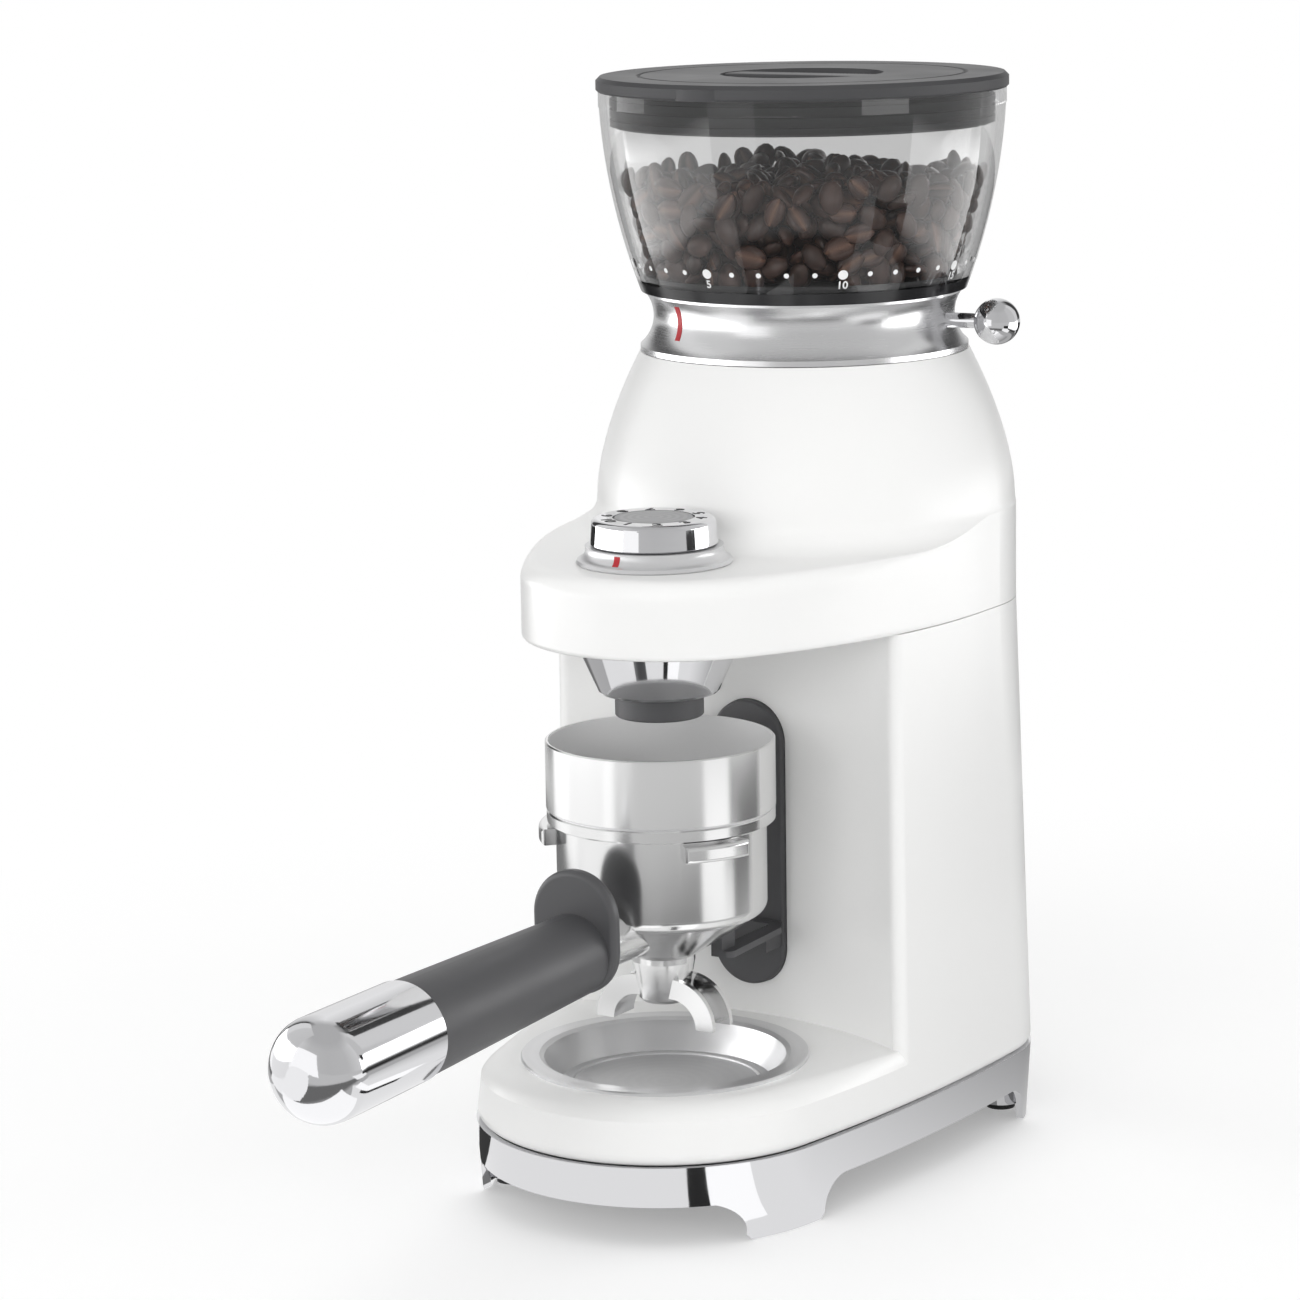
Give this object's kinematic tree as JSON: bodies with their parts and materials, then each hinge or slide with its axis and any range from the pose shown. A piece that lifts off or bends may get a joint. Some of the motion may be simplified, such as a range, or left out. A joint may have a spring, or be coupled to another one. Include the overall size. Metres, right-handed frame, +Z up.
{
  "type": "burr coffee grinder",
  "caption": "Upright burr coffee grinder: clear bean hopper with lid, adjusting collar with a ball lever, dosing dial, portafilter on a fork under the outlet, drip tray and a legged base frame.",
  "frame": {"origin": "on the floor, under the axis of the hopper and the burrs", "axes": "+Z up, front with the portafilter towards -Y, lever on the +X side"},
  "size_m": [0.1773, 0.4423, 0.436],
  "materials": {
    "white_housing": "gloss",
    "chrome": "polished",
    "satin_steel": "satin",
    "polished_steel": "polished",
    "dark_plastic": "satin",
    "smoked_clear": "clear",
    "black_rubber": "matt",
    "machined_steel": "machined",
    "cast_aluminium": "cast",
    "bearing_brass": "machined",
    "natural_plastic": "matt",
    "board_green": "satin"
  },
  "bodies": {
    "grinder": {"upper_housing": "white_housing", "lower_housing": "white_housing", "head_floor": "white_housing", "base_frame": "chrome", "bottom_cover": "dark_plastic", "foot_pads": "black_rubber", "cover_screws": "machined_steel", "cord_gland": "dark_plastic", "control_board": "board_green", "knob_bezel": "satin_steel", "encoder": "natural_plastic", "outlet_cone": "chrome", "outlet_nozzle": "dark_plastic", "chute": "natural_plastic", "fork_plate": "dark_plastic", "fork": "dark_plastic", "fork_screws": "machined_steel", "drive_plate": "machined_steel", "drive_screws": "machined_steel", "gearbox_cover": "dark_plastic", "motor_can": "machined_steel", "chamber_pillars": "machined_steel", "grind_chamber": "cast_aluminium", "hopper_seat": "dark_plastic", "lower_bearing": "bearing_brass", "upper_bearing": "bearing_brass"},
    "adjuster": {"adjust_collar": "chrome", "cam_ring": "dark_plastic", "lever_rod": "chrome", "lever_ball": "chrome"},
    "burr_holder": {"burr_carrier": "cast_aluminium", "carrier_pins": "machined_steel", "outer_burr": "machined_steel"},
    "burr_drive": {"burr_shaft": "machined_steel", "inner_burr": "machined_steel", "burr_nut": "machined_steel", "impeller": "natural_plastic", "drive_gear": "natural_plastic"},
    "motor": {"motor_shaft": "machined_steel", "rotor_core": "machined_steel", "motor_fan": "natural_plastic", "pinion": "machined_steel"},
    "bean_hopper": {"hopper": "smoked_clear", "hopper_base": "dark_plastic"},
    "lid": {"hopper_lid": "dark_plastic", "lid_seal": "black_rubber"},
    "knob": {"dose_knob": "chrome", "knob_shaft": "machined_steel"},
    "button": {"start_button": "chrome"},
    "portafilter": {"portafilter_body": "polished_steel", "filter_basket": "satin_steel", "spout": "polished_steel", "handle_neck": "polished_steel", "finger_guard": "dark_plastic", "handle_grip": "dark_plastic", "handle_cap": "chrome", "handle_bolt": "machined_steel"},
    "funnel_ring": {"dosing_ring": "polished_steel"},
    "tray": {"drip_tray": "satin_steel"}
  },
  "joints": [
    {"name": "ring_turn", "type": "hinge", "parent": "grinder", "child": "adjuster", "pos_m": [0, 0, 0.337], "axis": [0, 0, 1], "range_deg": [-22, 248]},
    {"name": "burr_adjust", "type": "slide", "parent": "grinder", "child": "burr_holder", "axis": [0, 0, 1], "range_m": [-0.0001, 0.00115]},
    {"name": "burr_spin", "type": "hinge", "parent": "grinder", "child": "burr_drive", "pos_m": [0, 0, 0.2], "axis": [0, 0, 1], "continuous": true},
    {"name": "motor_spin", "type": "hinge", "parent": "grinder", "child": "motor", "pos_m": [0, 0.0315, 0.14], "axis": [0, 0, 1], "continuous": true},
    {"name": "hopper_lift", "type": "slide", "parent": "grinder", "child": "bean_hopper", "axis": [0, 0, 1], "range_m": [0, 0.06]},
    {"name": "lid_lift", "type": "slide", "parent": "bean_hopper", "child": "lid", "axis": [0, 0, 1], "range_m": [0, 0.06]},
    {"name": "knob_turn", "type": "hinge", "parent": "grinder", "child": "knob", "pos_m": [0, -0.118, 0.265], "axis": [0, 0, 1], "range_deg": [-150, 150]},
    {"name": "button_press", "type": "slide", "parent": "knob", "child": "button", "axis": [0, 0, -1], "range_m": [0, 0.0015], "stiffness_N_per_m": 400, "springref_m": -0.002},
    {"name": "portafilter_pull", "type": "slide", "parent": "grinder", "child": "portafilter", "axis": [0, -1, 0], "range_m": [0, 0.1]},
    {"name": "funnel_ring_lift", "type": "slide", "parent": "portafilter", "child": "funnel_ring", "axis": [0, 0, 1], "range_m": [0, 0.006]},
    {"name": "tray_lift", "type": "slide", "parent": "grinder", "child": "tray", "axis": [0, 0, 1], "range_m": [0, 0.01]}
  ],
  "couplings": [
    {"joint": "burr_adjust", "follows": "ring_turn", "m_per_rad": 0.000255},
    {"joint": "burr_spin", "follows": "motor_spin", "ratio": -0.23529}
  ]
}
